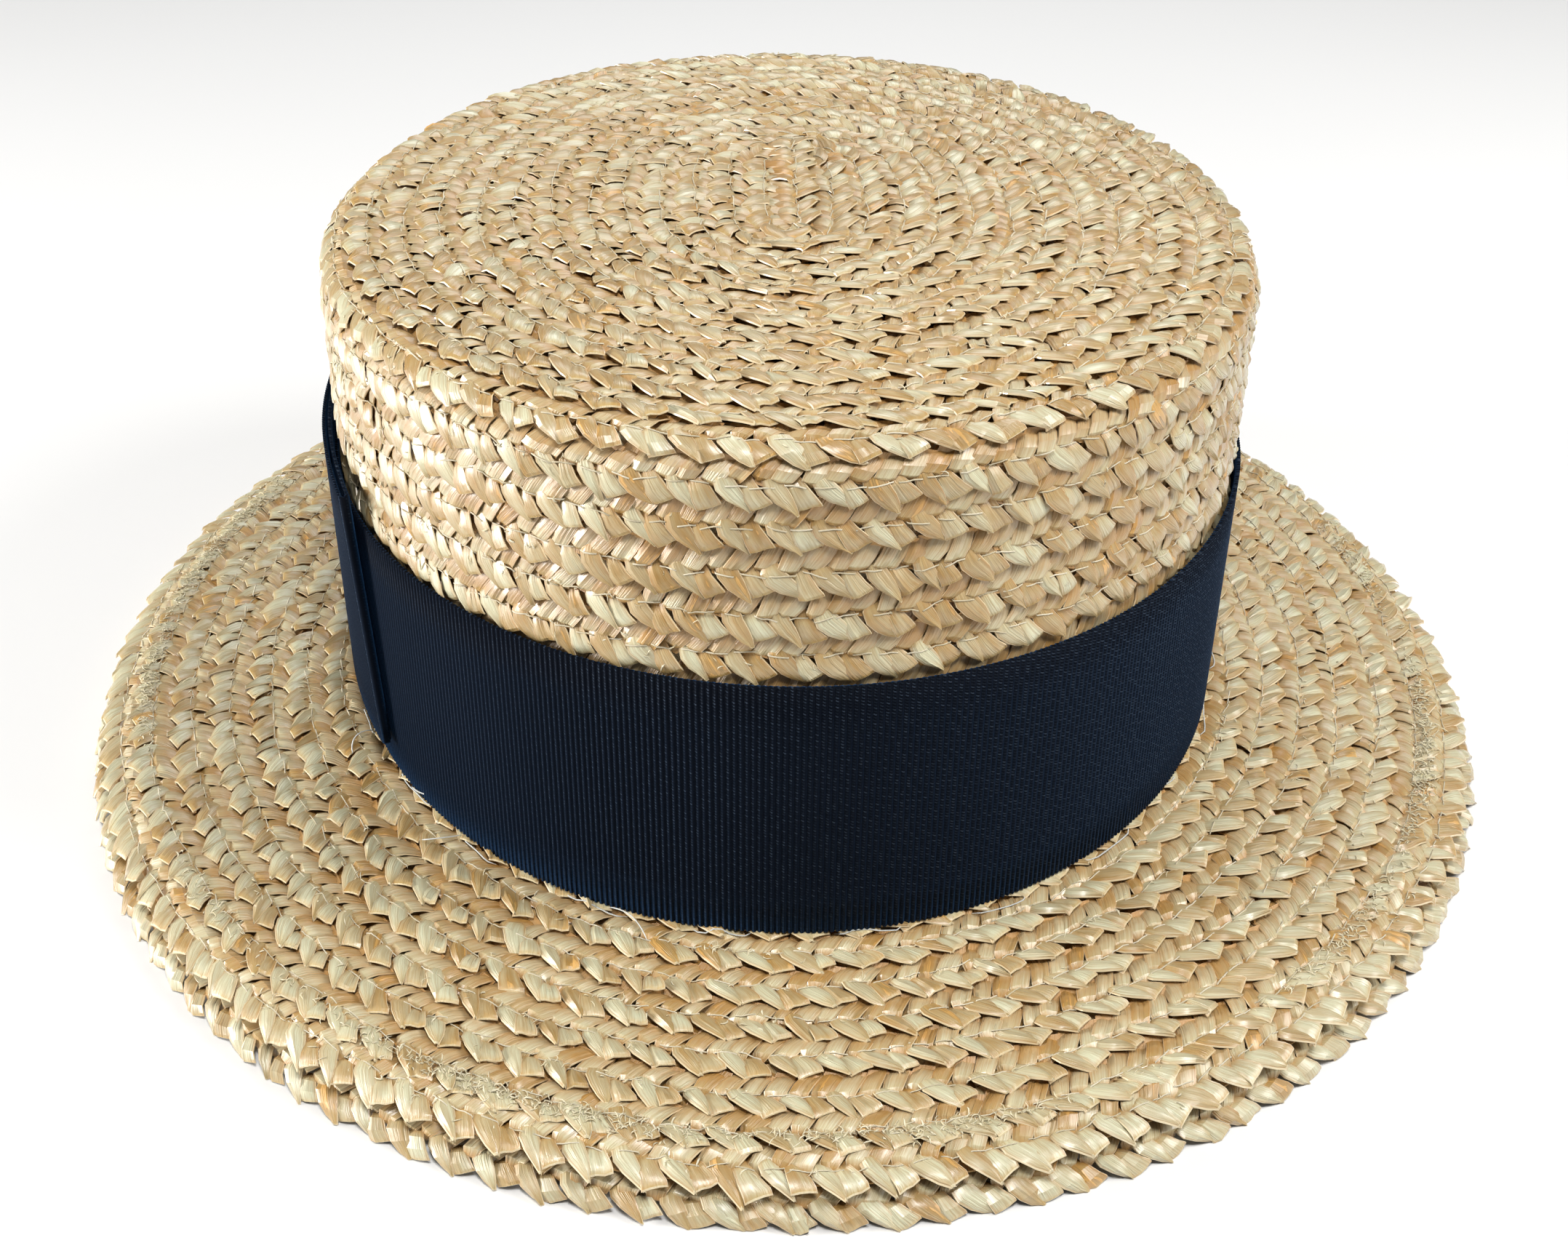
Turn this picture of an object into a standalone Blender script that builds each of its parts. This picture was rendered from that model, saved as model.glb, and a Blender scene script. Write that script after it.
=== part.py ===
"""A straw boater hat: a flat oval crown and a level brim of sewn straw plait, with a
ribbon band round the crown and a flat ribbon bow on one side.

Metres, +Z up. The hat rests on the underside of its brim's edge, at z = 0, with the
middle of the brim's plan at the origin. -Y is the end of the hat that faces the viewer,
and the bow is on the -X side. Every row of plait is an oval of one family: a circle of
some radius whose two halves are drawn apart along Y.
"""

import math

import bmesh
import bpy

# Plan of the hat, on the outside of the straw
CROWN_HALF_WIDTH = 0.0863
OVAL_EXTRA = 0.0166  # by which each half length passes its half width
BRIM_WIDTH = 0.0535
TIP_SQUARENESS = 0.45  # power that shapes the innermost rows: at 1 they are true ovals
ROUND_FROM = 0.75  # share of the crown's half width at which the rows are true ovals
PLAN_STEPS = 56  # flats round each oval

# Heights
CROWN_HEIGHT = 0.0900  # from the brim's top face up to the tip
SHOULDER_RADIUS = 0.0070
BRIM_SLOPE = 0.0024  # fall of the brim's top from the crown to its edge row
BRIM_EDGE_FALL = 0.0027  # further fall of the edge row alone

# Straw plait
CROWN_WALL = 0.0026
BRIM_WALL = 0.0028
EDGE_WALL = 0.0027  # the row that is sewn on under the brim's edge
TIP_PITCH = 0.0067  # from the edge of one row to the edge of the next
SIDE_PITCH = 0.00745
BRIM_PITCH = 0.0073
ROW_LAP = 0.0032  # width of each row that lies under its neighbour
ROW_STEP = 0.0009  # how far a row's edge stands over the next row
REST_WIDTH = 0.0020  # of the edge row's underside, which lies flat on a table
START_OF_PLAIT = 0.5  # share of a row at the tip's middle that is left flat

# Ribbon
RIBBON = 0.0010
RIBBON_WIDTH = 0.0490  # of the band and of the bow
BOW_RISE = 0.0062  # from the band's lower edge up to the bow's
BOW_HALF_LENGTH = 0.0572
BOW_SLANT = 0.0026  # how far each end leans out at its lower corner, and in at its upper
BOW_END_LIFT = 0.0016  # the stiff loops stand off the curved crown at their ends
LOOP_AIR = 0.0005  # between the two layers of a loop
KNOT_HALF_WIDTH = 0.0075
KNOT_WALL = 0.0010

GAP = 0.0003  # kept between pieces that touch on the real hat

# Worked out from the sizes above
EDGE_TOP = EDGE_WALL
RIM_TOP = EDGE_TOP + GAP + BRIM_WALL
BRIM_TOP = RIM_TOP + BRIM_EDGE_FALL + BRIM_SLOPE
TIP_TOP = BRIM_TOP + CROWN_HEIGHT
CROWN_FOOT = BRIM_TOP + GAP
RIM_RADIUS = CROWN_HALF_WIDTH + BRIM_WIDTH
BEND_RUN = BRIM_WIDTH - BRIM_PITCH  # from the crown to where the edge row bends down
TIP_RUN = CROWN_HALF_WIDTH - SHOULDER_RADIUS
SHOULDER_RUN = SHOULDER_RADIUS * math.pi / 2
SIDE_RUN = TIP_TOP - SHOULDER_RADIUS - CROWN_FOOT
BAND_INSIDE = CROWN_HALF_WIDTH + GAP
BAND_OUTSIDE = BAND_INSIDE + RIBBON
BAND_FOOT = CROWN_FOOT
BOW_FOOT = BAND_FOOT + BOW_RISE

STRAW = ("straw", (0.72, 0.55, 0.30), 0.42)
NAVY = ("navy_ribbon", (0.012, 0.020, 0.042), 0.75)


def new_collection(name):
    collection = bpy.data.collections.new(name)
    bpy.context.scene.collection.children.link(collection)
    return collection


def finish_of(name, colour, roughness):
    """A plain finish, made once and shared by the pieces that wear it."""
    material = bpy.data.materials.get(name)
    if material:
        return material
    material = bpy.data.materials.new(name)
    material.use_nodes = True
    shader = material.node_tree.nodes["Principled BSDF"]
    shader.inputs["Base Color"].default_value = (*colour, 1.0)
    shader.inputs["Roughness"].default_value = roughness
    shader.inputs["Metallic"].default_value = 0.0
    return material


def oval(radius, angle):
    """Where a point at this radius and angle of a turned shape goes on the hat's plan.

    Near the tip's middle the plait runs straight on both sides of its start, so there
    the halves are drawn apart whole. Further out the oval rounds off.
    """
    roundness = min(1.0, radius / (ROUND_FROM * CROWN_HALF_WIDTH))
    power = TIP_SQUARENESS + (1 - TIP_SQUARENESS) * roundness
    apart = OVAL_EXTRA * min(1.0, radius / (START_OF_PLAIT * TIP_PITCH))
    rise = math.sin(angle)
    pull = math.copysign(abs(rise) ** power, rise) if abs(rise) > 1e-9 else 0.0
    return radius * math.cos(angle), radius * rise + apart * pull


def whole_rows(run, pitch):
    """Distances of the row edges along a run, with the pitch eased to fill it whole."""
    count = max(1, round(run / pitch))
    return [run * row / count for row in range(count + 1)]


def rows_and_rest(run, pitch):
    """Distances of the row edges along a run. What is left over makes the last row."""
    count = max(1, round(run / pitch))
    return [pitch * row for row in range(count)] + [run]


def crown_section(distance, lift):
    """A point (radius, height) of the crown's section: at a distance from the tip's
    middle along the outside of the straw, and lifted off it."""
    if distance <= TIP_RUN:
        return distance, TIP_TOP + lift
    turn = (distance - TIP_RUN) / SHOULDER_RADIUS
    if turn <= math.pi / 2:
        reach = SHOULDER_RADIUS + lift
        radius = TIP_RUN + reach * math.sin(turn)
        return radius, TIP_TOP - SHOULDER_RADIUS + reach * math.cos(turn)
    down = distance - TIP_RUN - SHOULDER_RUN
    return CROWN_HALF_WIDTH + lift, TIP_TOP - SHOULDER_RADIUS - down


def brim_section(distance, lift):
    """A point of the brim's section, at a distance out from the crown's wall."""
    slope = BRIM_SLOPE * min(1.0, max(0.0, distance) / BEND_RUN)
    bend = max(0.0, distance - BEND_RUN) / BRIM_PITCH
    height = BRIM_TOP - slope - BRIM_EDGE_FALL * bend
    return CROWN_HALF_WIDTH + distance, height + lift


def stepped(section, edges):
    """The outside of a run of plait: each row lifts to its edge and steps down there."""
    points = []
    for start, end in zip(edges, edges[1:]):
        points += [section(start, -ROW_STEP), section(end, 0.0)]
    return points


def turned_oval(name, profile, closed, finish, collection):
    """A profile of (radius, height) points, spun round Z and drawn out to the oval plan."""
    mesh = bmesh.new()
    corners = [mesh.verts.new((radius, 0.0, height)) for radius, height in profile]
    ends = corners[1:] + ([corners[0]] if closed else [])
    for first, second in zip(corners, ends):
        mesh.edges.new((first, second))
    bmesh.ops.spin(
        mesh,
        geom=mesh.verts[:] + mesh.edges[:],
        axis=(0.0, 0.0, 1.0),
        cent=(0.0, 0.0, 0.0),
        angle=2 * math.pi,
        steps=PLAN_STEPS,
        use_merge=True,
    )
    bmesh.ops.remove_doubles(mesh, verts=mesh.verts[:], dist=1e-6)
    for vertex in mesh.verts:
        radius = math.hypot(vertex.co.x, vertex.co.y)
        angle = math.atan2(vertex.co.y, vertex.co.x)
        vertex.co.x, vertex.co.y = oval(radius, angle)
    bmesh.ops.recalc_face_normals(mesh, faces=mesh.faces[:])
    data = bpy.data.meshes.new(name)
    mesh.to_mesh(data)
    mesh.free()
    return placed(name, data, finish, collection)


def placed(name, data, finish, collection):
    data.shade_smooth()
    data.set_sharp_from_angle(angle=math.radians(35))
    data.materials.append(finish_of(*finish))
    piece = bpy.data.objects.new(name, data)
    collection.objects.link(piece)
    return piece


def make_crown(collection):
    """Tip and side are one run of plait, sewn from the middle of the tip outwards."""
    down_the_side = rows_and_rest(SHOULDER_RUN + SIDE_RUN, SIDE_PITCH)
    edges = whole_rows(TIP_RUN, TIP_PITCH) + [TIP_RUN + down for down in down_the_side[1:]]
    outside = stepped(crown_section, edges)
    outside[0] = (START_OF_PLAIT * TIP_PITCH, TIP_TOP)
    end = edges[-1]
    inside_side = [end, end - SIDE_RUN / 3, end - SIDE_RUN * 2 / 3]
    inside_turn = [TIP_RUN + SHOULDER_RUN * share for share in (1.0, 0.5, 0.0)]
    inside_tip = [TIP_RUN * 2 / 3, TIP_RUN / 3, START_OF_PLAIT * TIP_PITCH]
    inside = [
        crown_section(distance, -CROWN_WALL)
        for distance in inside_side + inside_turn + inside_tip
    ]
    profile = [(0.0, TIP_TOP)] + outside + inside + [(0.0, TIP_TOP - CROWN_WALL)]
    return turned_oval("crown", profile, False, STRAW, collection)


def make_brim(collection):
    """A ring of plait that reaches in under the crown's wall, where the two are sewn."""
    from_rim = rows_and_rest(BRIM_WIDTH, BRIM_PITCH)
    top = stepped(brim_section, [BRIM_WIDTH - inward for inward in reversed(from_rim)])
    under = [
        brim_section(distance, -BRIM_WALL)
        for distance in (BRIM_WIDTH, BEND_RUN, BEND_RUN / 2, -CROWN_WALL)
    ]
    seat = [(CROWN_HALF_WIDTH - CROWN_WALL, BRIM_TOP), (CROWN_HALF_WIDTH, BRIM_TOP)]
    return turned_oval("brim", seat + top[1:] + under, True, STRAW, collection)


def make_edge_row(collection):
    """One more row of plait, sewn flat under the edge. The hat rests on it."""
    fold = EDGE_WALL / 3
    inner, inner_top = brim_section(BEND_RUN - ROW_LAP, -BRIM_WALL - GAP)
    bend, bend_top = brim_section(BEND_RUN, -BRIM_WALL - GAP)
    profile = [
        (inner, inner_top),
        (bend, bend_top),
        (RIM_RADIUS - fold, EDGE_TOP),
        (RIM_RADIUS, EDGE_TOP - fold),
        (RIM_RADIUS, fold),
        (RIM_RADIUS - fold, 0.0),
        (RIM_RADIUS - fold - REST_WIDTH, 0.0),
        (bend, bend_top - EDGE_WALL),
        (inner, inner_top - EDGE_WALL),
    ]
    return turned_oval("brim_edge_row", profile, True, STRAW, collection)


def make_band(collection):
    """The ribbon lies flat round the foot of the crown, on the tips of the rows."""
    profile = [
        (BAND_INSIDE, BAND_FOOT + RIBBON_WIDTH),
        (BAND_OUTSIDE, BAND_FOOT + RIBBON_WIDTH),
        (BAND_OUTSIDE, BAND_FOOT),
        (BAND_INSIDE, BAND_FOOT),
    ]
    return turned_oval("ribbon_band", profile, True, NAVY, collection)


def on_bow_side(distance, lift):
    """A plan point: so far towards -Y round the band from the middle of the bow's side,
    and lifted off the ribbon."""
    angle = math.pi + distance / (BAND_OUTSIDE + OVAL_EXTRA)
    return oval(BAND_OUTSIDE + lift, angle)


def stand_off(along):
    """How far a loop stands off the band, at a share of its way from knot to end."""
    return BOW_END_LIFT * along**3


def sheet(name, rows, thickness, finish, collection):
    """Rows of points joined into an open surface, then given a ribbon's thickness."""
    mesh = bmesh.new()
    grid = [[mesh.verts.new(point) for point in row] for row in rows]
    for lower, upper in zip(grid, grid[1:]):
        for a, b, c, d in zip(lower, lower[1:], upper[1:], upper):
            mesh.faces.new((a, b, c, d))
    data = bpy.data.meshes.new(name)
    mesh.to_mesh(data)
    mesh.free()
    piece = placed(name, data, finish, collection)
    wall = piece.modifiers.new("ribbon thickness", "SOLIDIFY")
    wall.thickness = thickness
    wall.offset = 0.0
    wall.use_even_offset = True
    return piece


def make_loop(name, towards_front, collection):
    """A flattened ribbon loop: out from the knot along the band, round a tight fold at
    its end, and back over itself."""
    turn = (RIBBON + LOOP_AIR) / 2
    inner_lift = GAP + RIBBON / 2
    outer_lift = inner_lift + 2 * turn
    steps = 9
    path = [(step / steps, 0.0, inner_lift) for step in range(steps + 1)]
    for degrees in (45, 90, 135):
        bend = math.radians(degrees)
        lift = inner_lift + turn * (1 - math.cos(bend))
        path.append((1.0, turn * math.sin(bend), lift))
    path += [(step / steps, 0.0, outer_lift) for step in range(steps, -1, -1)]
    rows = []
    levels = 4
    for share in [level / levels for level in range(levels + 1)]:
        length = BOW_HALF_LENGTH - turn - RIBBON / 2 + BOW_SLANT * (1 - 2 * share)
        row = []
        for along, past, lift in path:
            distance = GAP + (length - GAP) * along + past
            x, y = on_bow_side(distance * towards_front, lift + stand_off(along))
            row.append((x, y, BOW_FOOT + RIBBON_WIDTH * share))
        rows.append(row)
    return sheet(name, rows, RIBBON, NAVY, collection)


def make_knot(collection):
    """The short wrap of ribbon over the loops' roots, folded in over their edges."""
    clear = GAP + KNOT_WALL / 2
    low, high = BOW_FOOT - clear, BOW_FOOT + RIBBON_WIDTH + clear
    shoulder = GAP + 2 * RIBBON + LOOP_AIR + stand_off(KNOT_HALF_WIDTH / BOW_HALF_LENGTH)
    over = shoulder + clear
    cut = clear * 0.3  # each corner is rounded off through one point between its ends
    section = [
        (low, GAP),
        (low, shoulder),
        (low + cut, over - cut),
        (low + clear, over),
        ((low + high) / 2, over),
        (high - clear, over),
        (high - cut, over - cut),
        (high, shoulder),
        (high, GAP),
    ]
    columns = 6
    rows = []
    for column in range(columns + 1):
        distance = KNOT_HALF_WIDTH * (2 * column / columns - 1)
        rows.append([(*on_bow_side(distance, lift), z) for z, lift in section])
    return sheet("bow_knot", rows, KNOT_WALL, NAVY, collection)


def main():
    """The straw first, then the ribbon, in the order that the hat is made in."""
    for old in list(bpy.data.objects):
        bpy.data.objects.remove(old)
    hat = new_collection("straw_boater_hat")
    make_crown(hat)
    make_brim(hat)
    make_edge_row(hat)
    make_band(hat)
    make_loop("bow_loop_front", 1, hat)
    make_loop("bow_loop_back", -1, hat)
    make_knot(hat)


main()
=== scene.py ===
import math

import bpy
import numpy as np
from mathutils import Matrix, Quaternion, Vector
from mathutils.bvhtree import BVHTree


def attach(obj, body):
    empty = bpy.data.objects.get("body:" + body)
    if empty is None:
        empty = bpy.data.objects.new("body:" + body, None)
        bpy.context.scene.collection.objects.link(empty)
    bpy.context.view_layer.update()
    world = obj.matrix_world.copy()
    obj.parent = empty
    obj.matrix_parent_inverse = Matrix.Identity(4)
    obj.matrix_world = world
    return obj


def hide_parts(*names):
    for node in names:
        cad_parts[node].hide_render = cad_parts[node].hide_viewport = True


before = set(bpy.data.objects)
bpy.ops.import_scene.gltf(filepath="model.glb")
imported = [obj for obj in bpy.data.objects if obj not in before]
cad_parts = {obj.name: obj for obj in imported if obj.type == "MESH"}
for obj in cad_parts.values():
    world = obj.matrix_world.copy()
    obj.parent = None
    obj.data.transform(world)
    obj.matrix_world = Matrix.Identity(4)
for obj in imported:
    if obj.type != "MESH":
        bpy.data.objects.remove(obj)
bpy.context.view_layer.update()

bpy.ops.object.select_all(action="DESELECT")


# The straw. Wheat stems are split, pressed flat and lacquered, so each strip has fine
# fibres along it, a shade of its own and a soft gloss. Its long edges and the parts that
# go under the next strip are painted browner as shade, and its cut edges get a painted
# highlight.
class Wire:
    """One output in a material's node tree. Sums on wires add the Math nodes."""

    def __init__(self, tree, socket=None):
        self.tree = tree
        self.socket = socket

    def node(self, kind, settings=None, values=None, output=0):
        """A new node: its settings first, then the values or wires of its sockets."""
        made = self.tree.nodes.new("ShaderNode" + kind)
        for name, value in (settings or {}).items():
            if name == "stops":
                self.set_stops(made.color_ramp, value)
            else:
                setattr(made, name, value)
        for name, value in (values or {}).items():
            if isinstance(value, Wire):
                self.tree.links.new(value.socket, made.inputs[name])
            else:
                made.inputs[name].default_value = value
        return Wire(self.tree, made.outputs[output])

    @staticmethod
    def set_stops(ramp, stops):
        for place, colour in stops[2:]:
            ramp.elements.new(place)
        for element, (place, colour) in zip(ramp.elements, stops):
            element.position = place
            element.color = (*colour, 1.0)

    def math(self, operation, *values):
        return self.node("Math", {"operation": operation}, dict(enumerate(values)))

    def __add__(self, other):
        return self.math("ADD", self, other)

    def __sub__(self, other):
        return self.math("SUBTRACT", self, other)

    def __rsub__(self, other):
        return self.math("SUBTRACT", other, self)

    def __mul__(self, other):
        return self.math("MULTIPLY", self, other)

    __radd__ = __add__
    __rmul__ = __mul__

    def between(self, first, second):
        """The colour that lies this share of the way from the first to the second."""
        mixed = {0: self, 6: first, 7: second}
        return self.node("Mix", {"data_type": "RGBA"}, mixed, 2)

    def clamped(self, low, high):
        """0 below low and 1 above high, with an even rise between them."""
        return self.node("MapRange", None, {0: self, 1: low, 2: high})

    def noise(self, across, along, seed, detail=2.0):
        """Noise on the strip's own map, with its own scale each way."""
        scaled = self.node(
            "VectorMath", {"operation": "MULTIPLY"}, {0: self, 1: (across, along, 1.0)}
        )
        moved = self.node(
            "VectorMath", {"operation": "ADD"}, {0: scaled, 1: (seed, seed * 0.7, 0.0)}
        )
        return self.node("TexNoise", None, {"Vector": moved, "Scale": 1.0, "Detail": detail})


def new_finish(name, constants):
    """A material, the wire that starts its tree, and a way to link into its shader."""
    finish = bpy.data.materials.new(name)
    finish.use_nodes = True
    shader = finish.node_tree.nodes["Principled BSDF"]
    for socket, value in constants.items():
        shader.inputs[socket].default_value = value
    return finish, Wire(finish.node_tree), shader


def plug(shader, **wires):
    """Links wires into the shader's sockets, with _ for the space in a socket's name."""
    for name, wire in wires.items():
        wire.tree.links.new(wire.socket, shader.inputs[name.replace("_", " ")])


def straw_finish(name, darker):
    """Lacquered straw. The attribute shade picks the strip's colour, and fold is 0 in
    the open and 1 where a strip goes under the next one, where its colour is painted
    browner as shade. darker mixes that painted shade in everywhere, and makes the
    straw rougher with little lacquer."""
    finish, tree, shader = new_finish(
        name, {"Specular IOR Level": 0.75, "Coat Roughness": 0.27}
    )
    strip_map = tree.node("UVMap", {"uv_map": "strip"})
    shade = tree.node("Attribute", {"attribute_name": "shade"}, None, 2)
    fold = tree.node("Attribute", {"attribute_name": "fold"}, None, 2)
    parts = tree.node("SeparateXYZ", None, {0: strip_map})
    across = parts.math("FRACT", parts)
    lengthwise = tree.node("SeparateXYZ", None, {0: strip_map}, 1)
    along = lengthwise.math("FRACT", lengthwise)
    from_middle = (across - 0.5).math("ABSOLUTE", across - 0.5) * 2.0
    from_halfway = (along - 0.5).math("ABSOLUTE", along - 0.5) * 2.0
    fibres = strip_map.noise(15.0, 0.9, 3.1, 3.0)
    blotches = strip_map.noise(1.7, 1.3, 8.3, 3.0)
    streaks = strip_map.noise(5.0, 0.6, 5.7, 1.0)
    stem = tree.node(
        "ValToRGB",
        {
            "stops": [
                (0.0, (0.66, 0.65, 0.45)),
                (1.0, (0.40, 0.22, 0.05)),
                (0.24, (0.79, 0.70, 0.36)),
                (0.46, (0.77, 0.54, 0.19)),
                (0.7, (0.69, 0.39, 0.11)),
            ]
        },
        {0: shade + (blotches - 0.5) * 1.0 + (streaks - 0.5) * 0.6},
    )
    lines = fibres.clamped(0.34, 0.6)
    lined = (lines * 0.5 + 0.5).between((0.34, 0.215, 0.08, 1.0), stem)
    ends = from_halfway.clamped(0.3, 1.0) * 0.6
    golden = ends.between(lined, (0.57, 0.375, 0.12, 1.0))
    # Painted shade: browner towards each strip's long edges, where it meets its neighbours.
    painted_edge_shade = (from_middle.clamped(0.7, 0.97) * 0.5).between(golden, (0.42, 0.20, 0.05, 1.0))
    # Painted highlight: a pale line along each strip's cut edges and ends.
    cut = from_middle.math("MAXIMUM", from_middle, from_halfway).clamped(0.955, 0.975) * 0.65
    with_painted_glint = cut.between(painted_edge_shade, (0.90, 0.80, 0.54, 1.0))
    # Painted shade: browner where the strip goes under the next one, and by the share darker on
    # every face.
    painted_shade = (fold * (0.85 - darker) + darker).between(with_painted_glint, (0.46, 0.22, 0.05, 1.0))
    relief = fibres * 0.6 + streaks * 0.6 + blotches * 0.4
    bump = tree.node("Bump", None, {"Strength": 1.0, "Distance": 0.00035, "Height": relief})
    gloss = blotches * 0.34 + 0.18 + darker * 0.35
    lacquer = (lines * 0.7 + 0.3) * (1.0 - darker * 3.0)
    plug(shader, Base_Color=painted_shade, Roughness=gloss, Coat_Weight=lacquer, Normal=bump)
    return finish


STRAW = straw_finish("lacquered_straw", 0.0)
# The wall and the faces inside and under the hat mix a share of the painted shade in everywhere.
STRAW_INSIDE = straw_finish("straw_back_face", 0.28)

MM = 0.001
STRIP_THICKNESS = 0.24
RIM_FLARE = 1.035


def modelled_strip(outline, profile, columns=3):
    """One strip of straw, laid flat: rows of (left end, right end, height) down its
    length, in mm, with a profile across, on a grid whose rim is then turned down. A
    strip of one column, for a face that is pressed flat on the wall, has no rim."""
    bpy.ops.mesh.primitive_grid_add(
        x_subdivisions=columns, y_subdivisions=len(outline) - 1, size=1.0
    )
    strip = bpy.context.object
    rows = np.linspace(0.0, 1.0, len(outline))
    left = np.array([row[0] for row in outline])
    right = np.array([row[1] for row in outline])
    height = [row[2] for row in outline]
    for vertex in strip.data.vertices:
        across, along = vertex.co.x + 0.5, vertex.co.y + 0.5
        near = [np.interp(along, rows, left[:, axis]) for axis in (0, 1)]
        far = [np.interp(along, rows, right[:, axis]) for axis in (0, 1)]
        vertex.co = (
            near[0] + (far[0] - near[0]) * across,
            near[1] + (far[1] - near[1]) * across,
            np.interp(along, rows, height) + np.interp(across * 3.0, range(4), profile),
        )
    if columns > 1:
        bpy.ops.object.mode_set(mode="EDIT")
        bpy.ops.mesh.select_all(action="SELECT")
        bpy.ops.mesh.region_to_loop()
        bpy.ops.mesh.extrude_edges_move(
            TRANSFORM_OT_translate={"value": (0.0, 0.0, -STRIP_THICKNESS)}
        )
        bpy.ops.transform.resize(value=(RIM_FLARE, RIM_FLARE, 1.0))
        bpy.ops.object.mode_set(mode="OBJECT")
    data = strip.data
    points = np.empty(len(data.vertices) * 3)
    data.vertices.foreach_get("co", points)
    corners = np.empty(len(data.loops), np.int64)
    data.loops.foreach_get("vertex_index", corners)
    layout = np.empty(len(data.loops) * 2)
    data.uv_layers[0].data.foreach_get("uv", layout)
    bpy.data.objects.remove(strip)
    bpy.data.meshes.remove(data)
    points = points.reshape(-1, 3)
    in_grid = np.arange(len(points)) < (columns + 1) * len(outline)
    open_height = points[:, 2] + np.where(in_grid, 0.0, STRIP_THICKNESS)
    # Painted shade: the deeper the strip goes under its neighbours, the browner it is painted.
    fold = np.clip(-open_height * 1.4 - 0.12, 0.0, 1.0)
    # Extruding makes its faces in no fixed order, so they are sorted by their corners.
    faces = corners.reshape(-1, 4)
    order = np.lexsort(np.sort(faces, axis=1).T)
    return points, faces[order], layout.reshape(-1, 4, 2)[order].reshape(-1, 2), fold


PAIR = 7.35
FLAT = (-0.12, 0.12, 0.12, -0.12)
RIDGED = (-0.2, 0.32, 0.04, -0.18)
SPLIT = (0.02, 0.16, -0.2, 0.1)
UPRIGHT = [
    ((8.3, -7.1), (11.6, -6.4), -0.95),
    ((7.25, -5.2), (10.55, -4.4), -0.5),
    ((6.4, -3.8), (9.75, -3.0), 0.1),
    ((5.6, -2.5), (8.95, -1.8), 0.34),
    ((4.95, -1.1), (7.85, -0.4), 0.06),
    ((5.1, 0.1), (6.6, 0.6), -0.95),
]
SQUARE_UPRIGHT = [
    ((8.1, -7.0), (11.4, -6.5), -0.9),
    ((7.25, -5.1), (10.55, -4.6), -0.4),
    ((6.4, -3.6), (9.75, -3.1), 0.16),
    ((5.5, -2.3), (8.9, -1.8), 0.38),
    ((4.7, -0.95), (7.95, -0.5), 0.1),
    ((4.8, 0.2), (7.2, 0.7), -0.9),
]
BLADE = [
    ((0.0, -1.9), (1.1, -2.8), -1.0),
    ((-0.5, -0.2), (1.95, -1.35), -0.12),
    ((0.05, 1.35), (2.9, 0.0), 0.12),
    ((1.7, 2.75), (3.9, 1.35), 0.16),
    ((3.5, 3.75), (4.75, 2.9), 0.1),
    ((4.9, 4.5), (5.3, 4.55), -0.05),
]
BROAD_BLADE = [
    ((-0.1, -2.0), (1.4, -2.7), -1.0),
    ((-0.7, -0.3), (2.3, -1.25), -0.1),
    ((-0.2, 1.35), (3.2, 0.15), 0.16),
    ((1.4, 2.9), (4.3, 1.5), 0.2),
    ((3.1, 4.0), (5.05, 2.9), 0.1),
    ((4.75, 4.7), (5.45, 4.6), -0.05),
]
FOLDED = [
    ((2.8, -0.6), (4.7, -1.7), -1.0),
    ((3.4, 1.0), (5.95, 0.2), -0.14),
    ((4.1, 2.8), (7.3, 1.75), 0.06),
    ((4.85, 4.1), (8.25, 2.6), 0.02),
    ((5.05, 4.6), (8.5, 3.1), -0.2),
]
SHORT_FOLDED = [
    ((2.9, -0.5), (4.9, -1.5), -1.0),
    ((3.4, 0.9), (6.1, 0.2), -0.1),
    ((4.05, 2.6), (7.35, 1.65), 0.14),
    ((4.6, 3.75), (8.0, 2.55), 0.08),
    ((4.75, 4.25), (8.2, 3.05), -0.12),
]
UPRIGHTS = [
    modelled_strip(UPRIGHT, FLAT),
    modelled_strip(SQUARE_UPRIGHT, FLAT),
    modelled_strip(UPRIGHT, RIDGED),
    modelled_strip(SQUARE_UPRIGHT, SPLIT),
]
BLADES = [
    modelled_strip(BLADE, FLAT),
    modelled_strip(BROAD_BLADE, FLAT),
    modelled_strip(BLADE, RIDGED),
]
FOLDEDS = [
    modelled_strip(FOLDED, FLAT),
    modelled_strip(SHORT_FOLDED, FLAT),
    modelled_strip(FOLDED, RIDGED),
    modelled_strip(SHORT_FOLDED, SPLIT),
]
# Each pair of teeth takes two upright strips, then the blade over the folded strip.
PAIR_OF_TEETH = [(UPRIGHTS, -PAIR / 2), (UPRIGHTS, 0.0), (BLADES, 0.0), (FOLDEDS, 0.0)]
BACK_UPRIGHTS = [modelled_strip(UPRIGHT[1:], FLAT, 1)]
BACK_BLADES = [modelled_strip(BLADE[1:], FLAT, 1)]
BACK_FOLDEDS = [modelled_strip(FOLDED[1:], FLAT, 1)]
BACK_PAIR = [
    (BACK_UPRIGHTS, -PAIR / 2),
    (BACK_UPRIGHTS, 0.0),
    (BACK_BLADES, 0.0),
    (BACK_FOLDEDS, 0.0),
]


def rough(draw, spread, shape):
    """Uneven handwork: normal random values, with no wild ones."""
    return np.clip(draw.normal(0.0, 1.0, shape), -2.2, 2.2) * spread


def eased(share):
    """0 to 1 with a slow start and a slow end."""
    return share * share * (3.0 - 2.0 * share)


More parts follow.
